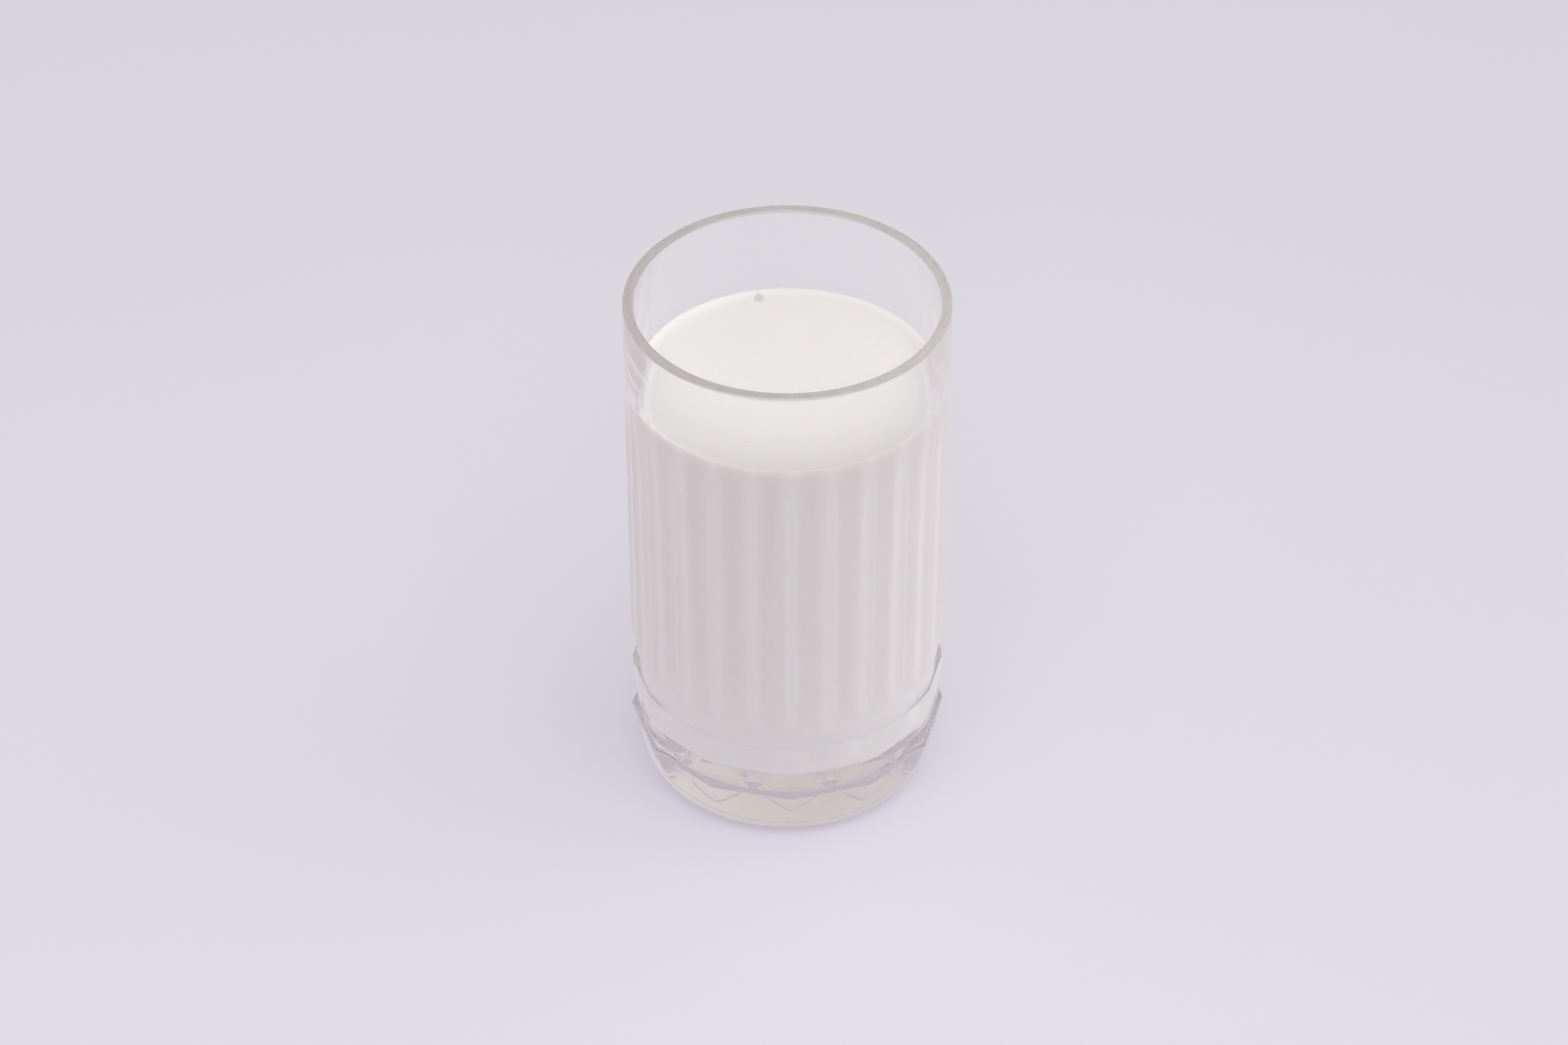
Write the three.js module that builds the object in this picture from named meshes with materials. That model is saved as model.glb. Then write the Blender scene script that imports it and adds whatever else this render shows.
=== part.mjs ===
// A tall pressed-glass tumbler filled with milk.
// Millimetres, +Z up. The glass stands on z = 0 with its axis on Z and a flute ridge at the front, -Y.
import * as THREE from 'three';

// Overall sizes of the glass
const HEIGHT = 137;
const RIM_RADIUS = 39;
const WALL_AT_RIM = 2.66;

// Upright flutes of the body: sharp ridges with hollows between them
const FLUTES = 24;
const FLUTE_DEPTH = 1.2;
const BODY_FOOT_RADIUS = 38.2;
const BODY_FOOT_Z = 40.5;
const FLUTE_FULL_Z = 96;
const FLUTE_TOP_Z = 119;

// Faceted tier under the body. It leans out from the crevice over the foot up to a ridge, turns in over a
// round shoulder to an upper crevice, and has flat facets cut into it all round.
const FACETS = 12;
const TIER_LOW_RADIUS = 36.3;
const TIER_LOW_Z = 15.6;
const TIER_RIDGE_RADIUS = 38.4;
const TIER_RIDGE_Z = 26.8;
const TIER_FACET_RADIUS = 37;
const CREVICE_RADIUS = 36.7;
const CREVICE_Z = 29.3;

// Plain band between the upper crevice and the low ends of the flutes
const BAND_RADIUS = 36.95;
const BAND_TOP_Z = 34.5;

// Foot: facets that lean out from a round heel and turn over to the crevice, and a ring to stand on round
// a hollow
const FOOT_RADIUS = 37.1;
const FOOT_WIDE_Z = 14.6;
const HEEL_REACH = 6.35;
const HEEL_HEIGHT = 11.5;
const HEEL_END = THREE.MathUtils.degToRad(-18);
const CONTACT_RADIUS = 30.2;
const CONTACT_WIDTH = 1;
const HOLLOW_SLOPE = 1.5;
const HOLLOW_DEPTH = 0.9;

// Inside of the glass
const FLOOR_Z = 19.8;
const FLOOR_RADIUS = 33.8;
const FLOOR_CORNER = 1.6;

// The milk, with a fine gap to the glass and a meniscus that climbs the wall
const MILK_LEVEL = 112.7;
const GAP = 0.3;
const MENISCUS_RISE = 1.5;
const MENISCUS_WIDTH = 3.4;

// Fineness of the faceting
const COLUMNS = FLUTES * 4;
const HEEL_STEPS = 5;
const FOOT_STEPS = 2;
const SHOULDER_STEPS = 3;
const RUN_OUT_STEPS = 5;
const LIP_STEPS = 8;
const CORNER_STEPS = 3;
const MENISCUS_STEPS = 4;

const LIP_RADIUS = WALL_AT_RIM / 2;
const LIP_CENTRE_RADIUS = RIM_RADIUS - LIP_RADIUS;
const LIP_CENTRE_Z = HEIGHT - LIP_RADIUS;
const QUARTER_TURN = Math.PI / 2;
const FULL_TURN = Math.PI * 2;

const mix = (from, to, share) => from + (to - from) * share;

// A row is a ring of the surface: a function from the angle round the axis to [radius, height].
const ring = (radius, z) => () => [radius, z];

// Place across one of `count` equal sectors, from -1 at one edge through 0 in its middle to 1.
function acrossSector(angle, count) {
  const sectors = (angle / FULL_TURN) * count;
  return 2 * (sectors - Math.floor(sectors)) - 1;
}

// Rows of part of an ellipse about (centreRadius, centreZ), from one angle of turn to another.
function arcRows(centreRadius, centreZ, radiusReach, zReach, from, to, steps) {
  return Array.from({ length: steps + 1 }, (unused, step) => {
    const turn = mix(from, to, step / steps);
    return ring(centreRadius + radiusReach * Math.cos(turn), centreZ + zReach * Math.sin(turn));
  });
}

// Plain round body outside the flutes, widening evenly up to the lip.
function bodyRadius(z) {
  return mix(BODY_FOOT_RADIUS, RIM_RADIUS, (z - BODY_FOOT_Z) / (LIP_CENTRE_Z - BODY_FOOT_Z));
}

// Depth of the flutes at an angle: none on a ridge, full in the middle of a hollow.
function fluteDepth(angle) {
  return FLUTE_DEPTH * (1 - acrossSector(angle, FLUTES) ** 2);
}

// Inside radius of the glass, an even draft from the floor to the lip.
function boreRadius(z) {
  return mix(FLOOR_RADIUS, RIM_RADIUS - WALL_AT_RIM, (z - FLOOR_Z) / (LIP_CENTRE_Z - FLOOR_Z));
}

// How far out flat facets reach at an angle, as a multiple of the reach in a facet's middle.
function facetSpread(angle) {
  return 1 / Math.cos((acrossSector(angle, FACETS) * Math.PI) / FACETS);
}

// Rows of the foot above its heel, from its widest place over to the crevice under the tier.
function footRows() {
  return Array.from({ length: FOOT_STEPS + 1 }, (unused, step) => {
    const turn = (QUARTER_TURN * step) / FOOT_STEPS;
    const z = mix(FOOT_WIDE_Z, TIER_LOW_Z, Math.sin(turn));
    return (angle) => [mix(TIER_LOW_RADIUS, FOOT_RADIUS * facetSpread(angle), Math.cos(turn)), z];
  });
}

// Rows of the tier above its low edge. A facet's edge lies on the leaning face below and on the shoulder
// above, so both cuts rise and fall round the tier.
function tierRows() {
  const faceCut = (angle) => {
    const radius = TIER_FACET_RADIUS * facetSpread(angle);
    const share = (radius - TIER_LOW_RADIUS) / (TIER_RIDGE_RADIUS - TIER_LOW_RADIUS);
    return [radius, mix(TIER_LOW_Z, TIER_RIDGE_Z, share)];
  };
  const width = TIER_RIDGE_RADIUS - CREVICE_RADIUS;
  const shoulder = Array.from({ length: SHOULDER_STEPS }, (unused, step) => (angle) => {
    const cut = Math.acos((TIER_FACET_RADIUS * facetSpread(angle) - CREVICE_RADIUS) / width);
    const turn = mix(cut, QUARTER_TURN, step / SHOULDER_STEPS);
    return [CREVICE_RADIUS + width * Math.cos(turn), mix(TIER_RIDGE_Z, CREVICE_Z, Math.sin(turn))];
  });
  return [faceCut, ...shoulder, ring(CREVICE_RADIUS, CREVICE_Z)];
}

// Rows of the body above the plain band: the flutes end low on a cone that narrows to the band, and run
// out high.
function bodyRows() {
  const fluteEnd = (angle) => {
    const depth = fluteDepth(angle);
    const share = depth / (BODY_FOOT_RADIUS - BAND_RADIUS);
    return [BODY_FOOT_RADIUS - depth, mix(BODY_FOOT_Z, BAND_TOP_Z, share)];
  };
  const runOut = Array.from({ length: RUN_OUT_STEPS + 1 }, (unused, step) => {
    const share = step / RUN_OUT_STEPS;
    const z = mix(FLUTE_FULL_Z, FLUTE_TOP_Z, share);
    const left = (1 - share) ** 2 * (1 + 2 * share);
    return (angle) => [bodyRadius(z) - fluteDepth(angle) * left, z];
  });
  return [ring(BAND_RADIUS, BAND_TOP_Z), fluteEnd, ...runOut];
}

// A closed surface of rows that start and end on the axis, turned about Z from the front.
function turnedGeometry(rows) {
  const profile = rows.map((row) => new THREE.Vector2(...row(0)));
  const geometry = new THREE.LatheGeometry(profile, COLUMNS);
  geometry.rotateX(QUARTER_TURN);
  const position = geometry.getAttribute('position');
  for (let column = 0; column <= COLUMNS; column += 1) {
    const angle = ((column % COLUMNS) / COLUMNS) * FULL_TURN;
    rows.forEach((row, index) => {
      const [radius, z] = row(angle);
      const vertex = column * rows.length + index;
      position.setXYZ(vertex, radius * Math.sin(angle), -radius * Math.cos(angle), z);
    });
  }
  geometry.computeVertexNormals();
  return geometry;
}

function glassRows() {
  const contactInner = CONTACT_RADIUS - CONTACT_WIDTH;
  const heel = arcRows(CONTACT_RADIUS, HEEL_HEIGHT, HEEL_REACH, HEEL_HEIGHT,
    -QUARTER_TURN, HEEL_END, HEEL_STEPS);
  const lip = arcRows(LIP_CENTRE_RADIUS, LIP_CENTRE_Z, LIP_RADIUS, LIP_RADIUS, 0, Math.PI, LIP_STEPS);
  const cornerRadius = boreRadius(FLOOR_Z + FLOOR_CORNER) - FLOOR_CORNER;
  const corner = arcRows(cornerRadius, FLOOR_Z + FLOOR_CORNER, FLOOR_CORNER, FLOOR_CORNER,
    0, -QUARTER_TURN, CORNER_STEPS);
  return [
    ring(0, HOLLOW_DEPTH),
    ring(contactInner - HOLLOW_SLOPE, HOLLOW_DEPTH),
    ring(contactInner, 0),
    ...heel,
    ...footRows(),
    ...tierRows(),
    ...bodyRows(),
    ...lip,
    ...corner,
    ring(0, FLOOR_Z),
  ];
}

function milkRows() {
  const bottomZ = FLOOR_Z + GAP;
  const edgeZ = FLOOR_Z + FLOOR_CORNER;
  const cornerRadius = boreRadius(edgeZ) - FLOOR_CORNER;
  const cornerReach = FLOOR_CORNER - GAP;
  const corner = arcRows(cornerRadius, edgeZ, cornerReach, cornerReach, -QUARTER_TURN, 0, CORNER_STEPS);
  const meniscus = Array.from({ length: MENISCUS_STEPS + 1 }, (unused, step) => {
    const share = step / MENISCUS_STEPS;
    const z = MILK_LEVEL + MENISCUS_RISE * (1 - share) ** 3;
    return ring(boreRadius(MILK_LEVEL) - GAP - MENISCUS_WIDTH * share, z);
  });
  return [ring(0, bottomZ), ...corner, ...meniscus, ring(0, MILK_LEVEL)];
}

function piece(name, rows, look) {
  const mesh = new THREE.Mesh(turnedGeometry(rows), new THREE.MeshStandardMaterial(look));
  mesh.name = name;
  return mesh;
}

const glassOfMilk = new THREE.Group();
glassOfMilk.add(
  piece('glass', glassRows(), {
    color: 0xe4e8e4, roughness: 0.03, metalness: 0, transparent: true, opacity: 0.35,
  }),
  piece('milk', milkRows(), { color: 0xeae6e7, roughness: 0.3, metalness: 0 }),
);

export default glassOfMilk;
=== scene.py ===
import math

import bmesh
import bpy
from mathutils import Matrix, Vector


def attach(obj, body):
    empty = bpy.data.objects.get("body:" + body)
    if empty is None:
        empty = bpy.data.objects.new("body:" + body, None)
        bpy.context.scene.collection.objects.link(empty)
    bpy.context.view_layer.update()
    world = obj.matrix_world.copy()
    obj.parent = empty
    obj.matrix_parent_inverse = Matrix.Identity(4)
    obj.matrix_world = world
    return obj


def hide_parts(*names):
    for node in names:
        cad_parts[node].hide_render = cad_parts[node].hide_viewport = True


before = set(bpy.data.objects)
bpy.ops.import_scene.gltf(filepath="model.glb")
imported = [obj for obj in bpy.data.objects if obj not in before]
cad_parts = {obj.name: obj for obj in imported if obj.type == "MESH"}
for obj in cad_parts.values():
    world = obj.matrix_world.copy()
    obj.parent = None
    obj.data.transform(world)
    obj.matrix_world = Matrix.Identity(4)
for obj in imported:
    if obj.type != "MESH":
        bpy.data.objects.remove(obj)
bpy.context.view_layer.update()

MM = 0.001
QUARTER_TURN = math.pi / 2
FULL_TURN = math.pi * 2

# Sizes of the glass in millimetres. The heel's reach and the ring that it stands on are a little smaller
# than in the solids, so that they don't show as lines through the foot.
HEIGHT = 137
RIM_RADIUS = 39
WALL_AT_RIM = 2.66
FLUTES = 24
FLUTE_DEPTH = 1.2
BODY_FOOT_RADIUS = 38.2
BODY_FOOT_Z = 40.5
FLUTE_FULL_Z = 96
FLUTE_TOP_Z = 119
FACETS = 12
TIER_LOW_RADIUS = 36.3
TIER_LOW_Z = 15.6
TIER_RIDGE_RADIUS = 38.4
TIER_RIDGE_Z = 26.8
TIER_FACET_RADIUS = 37
CREVICE_RADIUS = 36.7
CREVICE_Z = 29.3
BAND_RADIUS = 36.95
BAND_TOP_Z = 34.5
FOOT_RADIUS = 37.1
FOOT_WIDE_Z = 14.6
HEEL_REACH = 6.25
HEEL_Z = 11.5
HEEL_END = math.radians(-18)
CONTACT_RADIUS = 30.2
CONTACT_WIDTH = 0.3
HOLLOW_SLOPE = 1.5
HOLLOW_DEPTH = 0.9
FLOOR_Z = 19.8
FLOOR_RADIUS = 33.8
FLOOR_CORNER = 1.6
MILK_LEVEL = 112.7
MENISCUS_RISE = 1.5
MENISCUS_WIDTH = 3.4
LIP_RADIUS = WALL_AT_RIM / 2
LIP_CENTRE_RADIUS = RIM_RADIUS - LIP_RADIUS
LIP_CENTRE_Z = HEIGHT - LIP_RADIUS

# The milk reaches this far into the wall, so that no air shows between the two
WET_OVERLAP = 0.03
# Share of a half flute over which the pressed ridge is rounded
RIDGE_ROUNDING = 0.06
# Share of a half facet over which the edge between two facets is rounded
FACET_ROUNDING = 0.08

# Small lozenges cut into the tier: their width as a share of a half facet, and their depth
LOZENGE_WIDTH = 0.32
LOZENGE_DEPTH = 0.9

# The edge of the lip shows the glass's own grey-green, which fades out over this height
LIP_TINT_FADE = 0.4

# The milk's side has painted shade, dimmer than its top. Painted light streaks behind the ridges, standing
# in for light that the flutes gather, lose a share of that painted shade, and reach out from each ridge
# over a share of a flute's width.
STREAK_REACH = 0.25
PAINTED_STREAK_LIGHT = 0.5
# The side's painted shade fades in upwards from the plain band, and outwards to the wall
SIDE_LOW_Z = 32
SIDE_FADE = 3.5
SIDE_EDGE = 0.4
BORE_LEAN = (RIM_RADIUS - WALL_AT_RIM - FLOOR_RADIUS) / (LIP_CENTRE_Z - FLOOR_Z)

# The bubble. It is cut off below its centre, at a share of its radius.
BUBBLE_RADIUS = 1.15
BUBBLE_SKIN = 0.04
BUBBLE_PLACE = (-5.9, 33.4, 113.1)
BUBBLE_CUT = 0.5

# The drops, as degrees round the wall from the front, height and radius. They are flattened on the wall and
# drawn out upright.
WALL_DROPS = ((202, 116.6, 0.22), (182, 115.0, 0.28), (179.3, 120.7, 0.2), (343, 121.8, 0.2))
DROP_THICKNESS = 0.45
DROP_LENGTH = 1.2

# Edges that turn more than this stay crisp, in degrees
GLASS_CRISP = 14
MILK_CRISP = 30
BUBBLE_CRISP = 40
DROP_CRISP = 60

# Fineness of the shapes
COLUMNS = FLUTES * 16
HEEL_STEPS = 16
FOOT_STEPS = 8
LEANING_STEPS = 6
SHOULDER_STEPS = 8
BODY_STEPS = 4
RUN_OUT_STEPS = 12
LIP_STEPS = 24
CORNER_STEPS = 8
MENISCUS_STEPS = 12
MERGE_DISTANCE = 1e-7


def mix(start, end, share):
    return start + (end - start) * share


def ring(radius, z):
    """A plain round row. A row gives the surface's radius and height at an angle round the axis."""
    return lambda angle: (radius, z)


def across_sector(angle, count):
    """Place across one of count equal sectors, from -1 at one edge through 0 in its middle to 1."""
    sectors = angle / FULL_TURN * count
    return 2 * (sectors - math.floor(sectors)) - 1


def arc_rows(centre_radius, centre_z, radius_reach, z_reach, start, end, steps):
    """Rows of part of an ellipse, from one angle of turn to another."""
    turns = [mix(start, end, step / steps) for step in range(steps + 1)]
    return [
        ring(centre_radius + radius_reach * math.cos(turn), centre_z + z_reach * math.sin(turn))
        for turn in turns
    ]


def body_radius(z):
    """Plain round body outside the flutes, widening evenly up to the lip."""
    return mix(BODY_FOOT_RADIUS, RIM_RADIUS, (z - BODY_FOOT_Z) / (LIP_CENTRE_Z - BODY_FOOT_Z))


def bore_radius(z):
    """Inside radius of the glass, an even draft from the floor to the lip."""
    return mix(FLOOR_RADIUS, RIM_RADIUS - WALL_AT_RIM, (z - FLOOR_Z) / (LIP_CENTRE_Z - FLOOR_Z))


def flute_depth(angle):
    """Depth of the flutes, with the crest of each ridge rounded over."""
    across = abs(across_sector(angle, FLUTES))
    start = 1 - RIDGE_ROUNDING
    if across <= start:
        return FLUTE_DEPTH * (1 - across ** 2)
    over = across - start
    fall = over - over ** 2 / (2 * RIDGE_ROUNDING)
    return FLUTE_DEPTH * (1 - start ** 2 - 2 * start * fall)


def facet_spread(angle):
    """How far out the flat facets reach at an angle, as a multiple of the reach in a facet's middle."""
    across = abs(across_sector(angle, FACETS))
    half_facet = math.pi / FACETS
    start = 1 - FACET_ROUNDING
    if across <= start:
        return 1 / math.cos(across * half_facet)
    over = across - start
    rise = over - over ** 2 / (2 * FACET_ROUNDING)
    turn = start * half_facet
    return (1 + half_facet * math.tan(turn) * rise) / math.cos(turn)


def foot_rows():
    """Rows of the foot's faceted bulge, from where it is widest over to the crevice under the tier."""

    def foot_row(turn):
        z = mix(FOOT_WIDE_Z, TIER_LOW_Z, math.sin(turn))
        return lambda angle: (mix(TIER_LOW_RADIUS, FOOT_RADIUS * facet_spread(angle), math.cos(turn)), z)

    return [foot_row(QUARTER_TURN * step / FOOT_STEPS) for step in range(FOOT_STEPS + 1)]


def tier_rows():
    """Rows of the tier: a leaning face with a small lozenge cut under each facet, then a round shoulder."""
    width = TIER_RIDGE_RADIUS - CREVICE_RADIUS

    def face_cut(angle):
        radius = TIER_FACET_RADIUS * facet_spread(angle)
        share = (radius - TIER_LOW_RADIUS) / (TIER_RIDGE_RADIUS - TIER_LOW_RADIUS)
        return radius, mix(TIER_LOW_Z, TIER_RIDGE_Z, share)

    def leaning_row(share):
        def row(angle):
            radius, z = face_cut(angle)
            off_middle = abs(across_sector(angle, FACETS)) / LOZENGE_WIDTH + abs(2 * share - 1)
            depth = LOZENGE_DEPTH * max(0, 1 - off_middle)
            return mix(TIER_LOW_RADIUS, radius, share) - depth, mix(TIER_LOW_Z, z, share)

        return row

    def shoulder_row(share):
        def row(angle):
            cut = math.acos((TIER_FACET_RADIUS * facet_spread(angle) - CREVICE_RADIUS) / width)
            turn = mix(cut, QUARTER_TURN, share)
            return CREVICE_RADIUS + width * math.cos(turn), mix(TIER_RIDGE_Z, CREVICE_Z, math.sin(turn))

        return row

    return [
        *[leaning_row(step / LEANING_STEPS) for step in range(1, LEANING_STEPS + 1)],
        *[shoulder_row(step / SHOULDER_STEPS) for step in range(SHOULDER_STEPS + 1)],
    ]


def body_rows():
    """Rows of the body, from the plain band over the crevice up to where the flutes run out."""

    def flute_end(angle):
        depth = flute_depth(angle)
        share = depth / (BODY_FOOT_RADIUS - BAND_RADIUS)
        return BODY_FOOT_RADIUS - depth, mix(BODY_FOOT_Z, BAND_TOP_Z, share)

    def body_row(share):
        def row(angle):
            low_radius, low_z = flute_end(angle)
            top_radius = body_radius(FLUTE_FULL_Z) - flute_depth(angle)
            return mix(low_radius, top_radius, share), mix(low_z, FLUTE_FULL_Z, share)

        return row

    def run_out_row(share):
        z = mix(FLUTE_FULL_Z, FLUTE_TOP_Z, share)
        left = (1 - share) ** 2 * (1 + 2 * share)
        return lambda angle: (body_radius(z) - flute_depth(angle) * left, z)

    return [
        ring(BAND_RADIUS, BAND_TOP_Z),
        *[body_row(step / BODY_STEPS) for step in range(BODY_STEPS)],
        *[run_out_row(step / RUN_OUT_STEPS) for step in range(RUN_OUT_STEPS + 1)],
    ]


def glass_rows():
    """Rows of the glass, from the hollow under its foot up over the lip and down to its floor inside."""
    contact_inner = CONTACT_RADIUS - CONTACT_WIDTH
    edge_z = FLOOR_Z + FLOOR_CORNER
    corner_radius = bore_radius(edge_z) - FLOOR_CORNER
    return [
        ring(0, HOLLOW_DEPTH),
        ring(contact_inner - HOLLOW_SLOPE, HOLLOW_DEPTH),
        ring(contact_inner, 0),
        *arc_rows(CONTACT_RADIUS, HEEL_Z, HEEL_REACH, HEEL_Z, -QUARTER_TURN, HEEL_END, HEEL_STEPS),
        *foot_rows(),
        *tier_rows(),
        *body_rows(),
        *arc_rows(LIP_CENTRE_RADIUS, LIP_CENTRE_Z, LIP_RADIUS, LIP_RADIUS, 0, math.pi, LIP_STEPS),
        *arc_rows(corner_radius, edge_z, FLOOR_CORNER, FLOOR_CORNER, 0, -QUARTER_TURN, CORNER_STEPS),
        ring(0, FLOOR_Z),
    ]


def milk_rows():
    """Rows of the milk, from the middle of its underside up the wall and over the meniscus."""
    edge_z = FLOOR_Z + FLOOR_CORNER
    corner_reach = FLOOR_CORNER + WET_OVERLAP
    corner_radius = bore_radius(edge_z) - FLOOR_CORNER

    def meniscus_row(share):
        z = MILK_LEVEL + MENISCUS_RISE * (1 - share) ** 3
        return ring(bore_radius(z) + WET_OVERLAP - MENISCUS_WIDTH * share, z)

    return [
        ring(0, FLOOR_Z - WET_OVERLAP),
        *arc_rows(corner_radius, edge_z, corner_reach, corner_reach, -QUARTER_TURN, 0, CORNER_STEPS),
        *[meniscus_row(step / MENISCUS_STEPS) for step in range(MENISCUS_STEPS + 1)],
        ring(0, MILK_LEVEL),
    ]


def turned_mesh(rows):
    """Spins the front profile of the rows about Z, then sets every point of a row at its own angle."""
    mesh = bmesh.new()
    row_of = mesh.verts.layers.int.new("row")
    profile = []
    for index, row in enumerate(rows):
        radius, z = row(0)
        point = mesh.verts.new((0, -radius * MM, z * MM))
        point[row_of] = index
        profile.append(point)
    lines = [mesh.edges.new(pair) for pair in zip(profile, profile[1:])]
    bmesh.ops.spin(
        mesh, geom=profile + lines, cent=(0, 0, 0), axis=(0, 0, 1), angle=FULL_TURN,
        steps=COLUMNS, use_merge=True,
    )
    bmesh.ops.remove_doubles(mesh, verts=mesh.verts, dist=MERGE_DISTANCE)
    for point in mesh.verts:
        angle = math.atan2(point.co.x, -point.co.y)
        column = round(angle / FULL_TURN * COLUMNS)
        radius, z = rows[point[row_of]](column / COLUMNS * FULL_TURN)
        point.co = (radius * math.sin(angle) * MM, -radius * math.cos(angle) * MM, z * MM)
    mesh.verts.layers.int.remove(row_of)
    bmesh.ops.recalc_face_normals(mesh, faces=mesh.faces)
    return mesh


def piece(name, mesh, material):
    """A finished object of the given mesh and material."""
    data = bpy.data.meshes.new(name)
    mesh.to_mesh(data)
    mesh.free()
    data.materials.append(material)
    made = bpy.data.objects.new(name, data)
    bpy.context.scene.collection.objects.link(made)
    return made


class Shade:
    """A socket of a material, so that shader maths is written as plain expressions."""

    def __init__(self, tree, socket=None):
        self.tree = tree
        self.socket = socket

    def node(self, kind, settings=None, inputs=None, output=0):
        """Adds a node with settings and with values or links on its sockets, and gives one output."""
        made = self.tree.nodes.new(kind)
        for name, value in (settings or {}).items():
            if name == "stops":
                elements = made.color_ramp.elements
                while len(elements) < len(value):
                    elements.new(1)
                for element, (position, colour) in zip(elements, value):
                    element.position = position
                    element.color = (*colour, 1)
            else:
                setattr(made, name, value)
        for name, value in (inputs or {}).items():
            if isinstance(value, Shade):
                self.tree.links.new(value.socket, made.inputs[name])
            else:
                made.inputs[name].default_value = value
        return Shade(self.tree, made.outputs[output] if made.outputs else None)

    def maths(self, operation, first, second=0.0):
        return self.node("ShaderNodeMath", {"operation": operation}, {0: first, 1: second})

    def __add__(self, other):
        return self.maths("ADD", self, other)

    def __radd__(self, other):
        return self.maths("ADD", other, self)

    def __sub__(self, other):
        return self.maths("SUBTRACT", self, other)

    def __rsub__(self, other):
        return self.maths("SUBTRACT", other, self)

    def __mul__(self, other):
        return self.maths("MULTIPLY", self, other)

    def __rmul__(self, other):
        return self.maths("MULTIPLY", other, self)


def finish(name):
    """A new empty material, and the start of its expressions."""
    material = bpy.data.materials.new(name)
    material.use_nodes = True
    material.node_tree.nodes.clear()
    return material, Shade(material.node_tree)


def clear_glass():
    material, start = finish("clear_pressed_glass")
    place = start.node("ShaderNodeTexCoord", output="Object")
    ripple = start.node("ShaderNodeTexNoise", {}, {"Vector": place, "Scale": 60.0, "Detail": 1.0})
    smudge = start.node("ShaderNodeTexNoise", {}, {"Vector": place, "Scale": 140.0, "Detail": 3.0})
    pressed = start.node("ShaderNodeBump", {}, {"Strength": 0.02, "Distance": 0.0004, "Height": ripple})
    up = start.node("ShaderNodeSeparateXYZ", {}, {0: place}, "Z")
    on_lip = start.node("ShaderNodeClamp", {}, {
        "Value": (up - LIP_CENTRE_Z * MM) * (1 / (LIP_TINT_FADE * MM)),
    })
    colour = start.node("ShaderNodeMix", {"data_type": "RGBA"}, {
        0: on_lip, 6: (1, 1, 1, 1), 7: (0.72, 0.75, 0.72, 1),
    }, 2)
    surface = start.node("ShaderNodeBsdfPrincipled", {}, {
        "Base Color": colour,
        "Roughness": 0.012 * smudge,
        "IOR": 1.51,
        "Transmission Weight": 1.0,
        "Normal": pressed,
    })
    body = start.node("ShaderNodeVolumeAbsorption", {}, {"Color": (0.85, 0.825, 0.825, 1), "Density": 7.0})
    start.node("ShaderNodeOutputMaterial", {}, {"Surface": surface, "Volume": body})
    return material


def painted_milk_shade(start, place):
    """How strong the painted shade on the milk is: 1 on its side in a flute's hollow, less behind a ridge
    where a painted light streak lies, and 0 off the side.
    """
    across = start.node("ShaderNodeSeparateXYZ", {}, {0: place}, "X")
    along = start.node("ShaderNodeSeparateXYZ", {}, {0: place}, "Y")
    up = start.node("ShaderNodeSeparateXYZ", {}, {0: place}, "Z")
    flute = start.maths("ARCTAN2", across, -1 * along) * (FLUTES / FULL_TURN)
    from_ridge = start.maths("ABSOLUTE", start.maths("FRACT", flute + 0.5) - 0.5)
    off_ridge = start.maths("MINIMUM", from_ridge * (1 / STREAK_REACH), 1.0)
    soft_edge = off_ridge * off_ridge * (3 - 2 * off_ridge)
    # Painted light streaks behind the ridges take away part of the painted shade
    painted_streaks = (1 - PAINTED_STREAK_LIGHT) + PAINTED_STREAK_LIGHT * soft_edge
    wall = (FLOOR_RADIUS - BORE_LEAN * FLOOR_Z) * MM + BORE_LEAN * up
    radius = start.maths("SQRT", across * across + along * along)
    on_side = start.node("ShaderNodeClamp", {}, {"Value": 1 + (radius - wall) * (1 / (SIDE_EDGE * MM))})
    over_band = start.node("ShaderNodeClamp", {}, {
        "Value": (up - SIDE_LOW_Z * MM) * (1 / (SIDE_FADE * MM)),
    })
    return painted_streaks * on_side * over_band


def fresh_milk():
    material, start = finish("fresh_milk")
    place = start.node("ShaderNodeTexCoord", output="Object")
    cloud = start.node("ShaderNodeTexNoise", {}, {"Vector": place, "Scale": 45.0, "Detail": 2.0})
    white = start.node("ShaderNodeValToRGB", {"stops": [
        (0.3, (0.990, 0.978, 0.972)),
        (0.7, (0.998, 0.988, 0.983)),
    ]}, {"Fac": cloud})
    # The milk's side is mixed towards a painted shade colour, with painted light streaks behind the ridges
    colour = start.node("ShaderNodeMix", {"data_type": "RGBA"}, {
        0: painted_milk_shade(start, place), 6: white, 7: (0.898, 0.880, 0.875, 1),
    }, 2)
    surface = start.node("ShaderNodeBsdfPrincipled", {"subsurface_method": "RANDOM_WALK"}, {
        "Base Color": colour,
        "Roughness": 0.22,
        "IOR": 1.34,
        "Subsurface Weight": 1.0,
        "Subsurface Radius": (1.0, 0.85, 0.75),
        "Subsurface Scale": 0.9 * MM,
    })
    start.node("ShaderNodeOutputMaterial", {}, {"Surface": surface})
    return material


def milk_film():
    """The thin skin of a bubble and of small dried drops."""
    material, start = finish("milk_film")
    place = start.node("ShaderNodeTexCoord", output="Object")
    swirl = start.node("ShaderNodeTexNoise", {}, {"Vector": place, "Scale": 900.0, "Detail": 2.0})
    colour = start.node("ShaderNodeValToRGB", {"stops": [
        (0.3, (0.975, 0.965, 0.965)),
        (0.7, (0.998, 0.995, 0.995)),
    ]}, {"Fac": swirl})
    surface = start.node("ShaderNodeBsdfPrincipled", {}, {
        "Base Color": colour,
        "Roughness": 0.03 + 0.04 * swirl,
        "IOR": 1.34,
        "Transmission Weight": 0.9,
    })
    start.node("ShaderNodeOutputMaterial", {}, {"Surface": surface})
    return material


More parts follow.
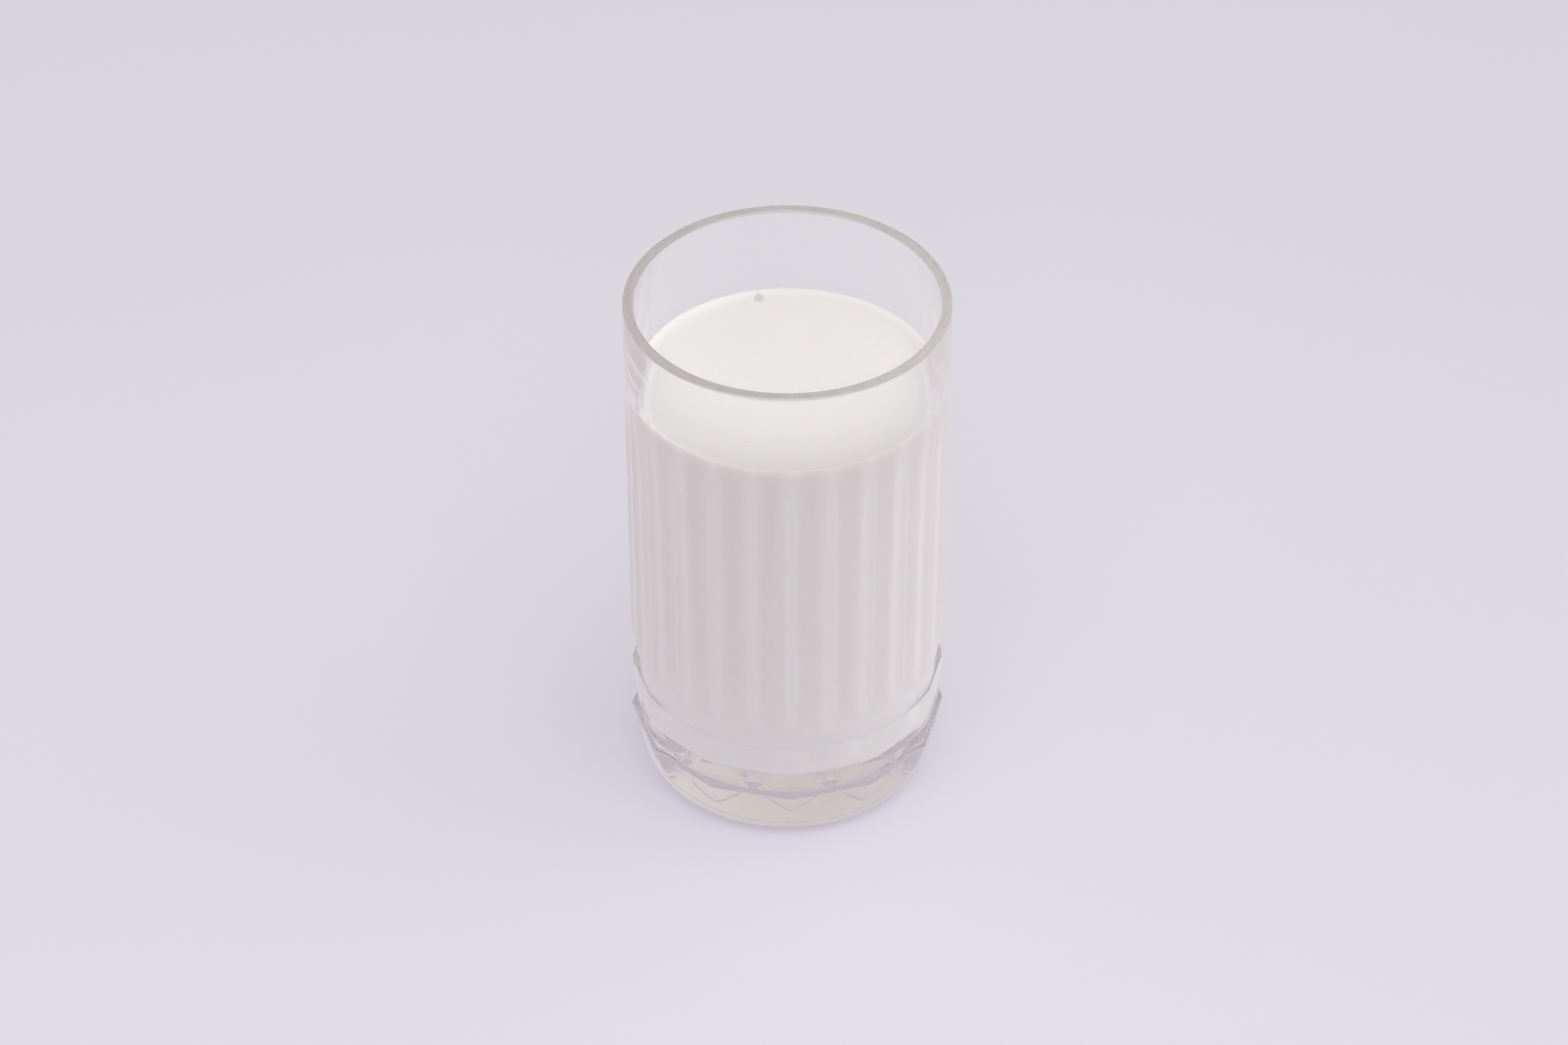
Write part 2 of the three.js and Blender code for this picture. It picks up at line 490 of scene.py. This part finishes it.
def pale_floor():
    material, start = finish("pale_floor")
    place = start.node("ShaderNodeTexCoord", output="Object")
    tone = start.node("ShaderNodeTexNoise", {}, {"Vector": place, "Scale": 3.0, "Detail": 2.0})
    colour = start.node("ShaderNodeValToRGB", {"stops": [
        (0.3, (0.868, 0.868, 0.955)),
        (0.7, (0.881, 0.881, 0.968)),
    ]}, {"Fac": tone})
    surface = start.node("ShaderNodeBsdfPrincipled", {}, {"Base Color": colour, "Roughness": 0.7})
    start.node("ShaderNodeOutputMaterial", {}, {"Surface": surface})
    return material


def shade_smooth(mesh, sharp_degrees):
    """Smooth faces, with the edges that turn more than the given angle left crisp."""
    for face in mesh.faces:
        face.smooth = True
    for edge in mesh.edges:
        edge.smooth = len(edge.link_faces) == 2 and edge.calc_face_angle() < math.radians(sharp_degrees)


# The glass
glass_mesh = turned_mesh(glass_rows())
shade_smooth(glass_mesh, GLASS_CRISP)
glass = piece("pressed_glass", glass_mesh, clear_glass())
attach(glass, "root")
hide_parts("glass")

# The milk
milk_mesh = turned_mesh(milk_rows())
shade_smooth(milk_mesh, MILK_CRISP)
milk = piece("milk_fill", milk_mesh, fresh_milk())
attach(milk, "root")
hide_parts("milk")

# A bubble on the milk by the back wall
bubble_mesh = bmesh.new()
bmesh.ops.create_uvsphere(bubble_mesh, u_segments=32, v_segments=20, radius=BUBBLE_RADIUS * MM)
bmesh.ops.bisect_plane(
    bubble_mesh, geom=bubble_mesh.verts[:] + bubble_mesh.edges[:] + bubble_mesh.faces[:],
    plane_co=(0, 0, -BUBBLE_CUT * BUBBLE_RADIUS * MM), plane_no=(0, 0, 1), clear_inner=True,
)
bmesh.ops.solidify(bubble_mesh, geom=bubble_mesh.faces[:], thickness=BUBBLE_SKIN * MM)
bmesh.ops.translate(bubble_mesh, verts=bubble_mesh.verts, vec=Vector(BUBBLE_PLACE) * MM)
shade_smooth(bubble_mesh, BUBBLE_CRISP)
bubble = piece("milk_bubble", bubble_mesh, milk_film())
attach(bubble, "root")

# Small drops that dried on the inside of the wall above the milk
drops_mesh = bmesh.new()
flatten = Matrix.Diagonal((1, DROP_THICKNESS, DROP_LENGTH, 1))
for around, z, drop_radius in WALL_DROPS:
    turn = Matrix.Rotation(math.radians(around), 4, "Z")
    seat = Matrix.Translation((0, -bore_radius(z) * MM, z * MM))
    bmesh.ops.create_icosphere(
        drops_mesh, subdivisions=2, radius=drop_radius * MM, matrix=turn @ seat @ flatten,
    )
shade_smooth(drops_mesh, DROP_CRISP)
drops = piece("wall_drops", drops_mesh, milk_film())
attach(drops, "root")

# The floor, in metres
FLOOR_HALF_WIDTH = 4

floor_mesh = bmesh.new()
bmesh.ops.create_grid(floor_mesh, x_segments=1, y_segments=1, size=FLOOR_HALF_WIDTH)
floor = piece("floor", floor_mesh, pale_floor())

# Camera, at the photograph's angle
PHOTO_WIDTH = 2352
FOCAL_PIXELS = 9924
SENSOR_WIDTH = 36
CAMERA_DISTANCE = 1.6
CAMERA_AIM_Z = 0.07003
CAMERA_ELEVATION = math.radians(37.965)
CAMERA_AZIMUTH = math.radians(-1.7)
CAMERA_SHIFT_PIXELS = -5.05
CAMERA_SIGHT = 50

lens = bpy.data.cameras.new("camera")
lens.sensor_fit = "HORIZONTAL"
lens.sensor_width = SENSOR_WIDTH
lens.lens = FOCAL_PIXELS * SENSOR_WIDTH / PHOTO_WIDTH
lens.shift_x = CAMERA_SHIFT_PIXELS / PHOTO_WIDTH
lens.clip_end = CAMERA_SIGHT
camera = bpy.data.objects.new("camera", lens)
level_distance = CAMERA_DISTANCE * math.cos(CAMERA_ELEVATION)
camera.location = (
    level_distance * math.sin(CAMERA_AZIMUTH),
    -level_distance * math.cos(CAMERA_AZIMUTH),
    CAMERA_AIM_Z + CAMERA_DISTANCE * math.sin(CAMERA_ELEVATION),
)
camera.rotation_euler = (QUARTER_TURN - CAMERA_ELEVATION, 0, CAMERA_AZIMUTH)
bpy.context.scene.collection.objects.link(camera)
bpy.context.scene.camera = camera


# Soft studio light, aimed at the body of the glass
LIGHT_AIM = Vector((0, 0, 0.06))


def softbox(name, place, size, watts):
    """A flat rectangular light at a place, turned to the glass."""
    data = bpy.data.lights.new(name, "AREA")
    data.shape = "RECTANGLE"
    data.size, data.size_y = size
    data.energy = watts
    light = bpy.data.objects.new(name, data)
    light.location = place
    light.rotation_euler = (LIGHT_AIM - Vector(place)).to_track_quat("-Z", "Y").to_euler()
    bpy.context.scene.collection.objects.link(light)
    return light


softbox("front_softbox", (0, -2.2, 1.0), (0.8, 1.6), 2.0)
overhead = softbox("overhead_softbox", (0, -0.3, 0.7), (0.5, 0.4), 1.0)
overhead.visible_transmission = False
overhead.visible_glossy = False

world = bpy.data.worlds.new("studio")
world.use_nodes = True
world.node_tree.nodes.clear()
sky = Shade(world.node_tree)
direction = sky.node("ShaderNodeTexCoord", output="Generated")
matt_bounces = sky.node("ShaderNodeLightPath", output="Diffuse Depth")


def wall_glow(facing, spread, colour, mirrored=True):
    """Light of one colour from one side, fading away from its middle, sooner for a higher power.

    A glow that isn't mirrored lights the milk and the floor, and isn't seen in or through the glass.
    """
    toward = sky.node(
        "ShaderNodeVectorMath", {"operation": "DOT_PRODUCT"},
        {0: direction, 1: Vector(facing).normalized()}, "Value",
    )
    strength = sky.maths("POWER", sky.maths("MAXIMUM", toward, 0.0), spread)
    if not mirrored:
        strength = strength * sky.maths("MINIMUM", matt_bounces, 1.0)
    return sky.node("ShaderNodeBackground", {}, {"Color": (*colour, 1), "Strength": strength})


studio = sky.node("ShaderNodeBackground", {}, {"Color": (0.44, 0.41, 0.395, 1), "Strength": 1.0})
for glow in (
    wall_glow((0, 1, 0.5), 2, (0.20, 0.18, 0.165)),
    wall_glow((1, 0, 0.35), 2, (0.30, 0.32, 0.33)),
    wall_glow((-1, 0, 0.35), 2, (0.15, 0.17, 0.19)),
    wall_glow((1, 0, 0), 3, (1.2, 1.16, 1.14), mirrored=False),
    wall_glow((-1, 0, 0), 3, (0.6, 0.53, 0.54), mirrored=False),
):
    studio = sky.node("ShaderNodeAddShader", {}, {0: studio, 1: glow})
sky.node("ShaderNodeOutputWorld", {}, {"Surface": studio})
bpy.context.scene.world = world

scene = bpy.context.scene
scene.view_settings.view_transform = "Standard"
scene.cycles.max_bounces = 32
scene.cycles.diffuse_bounces = 12
scene.cycles.glossy_bounces = 24
scene.cycles.transmission_bounces = 24
scene.cycles.blur_glossy = 0
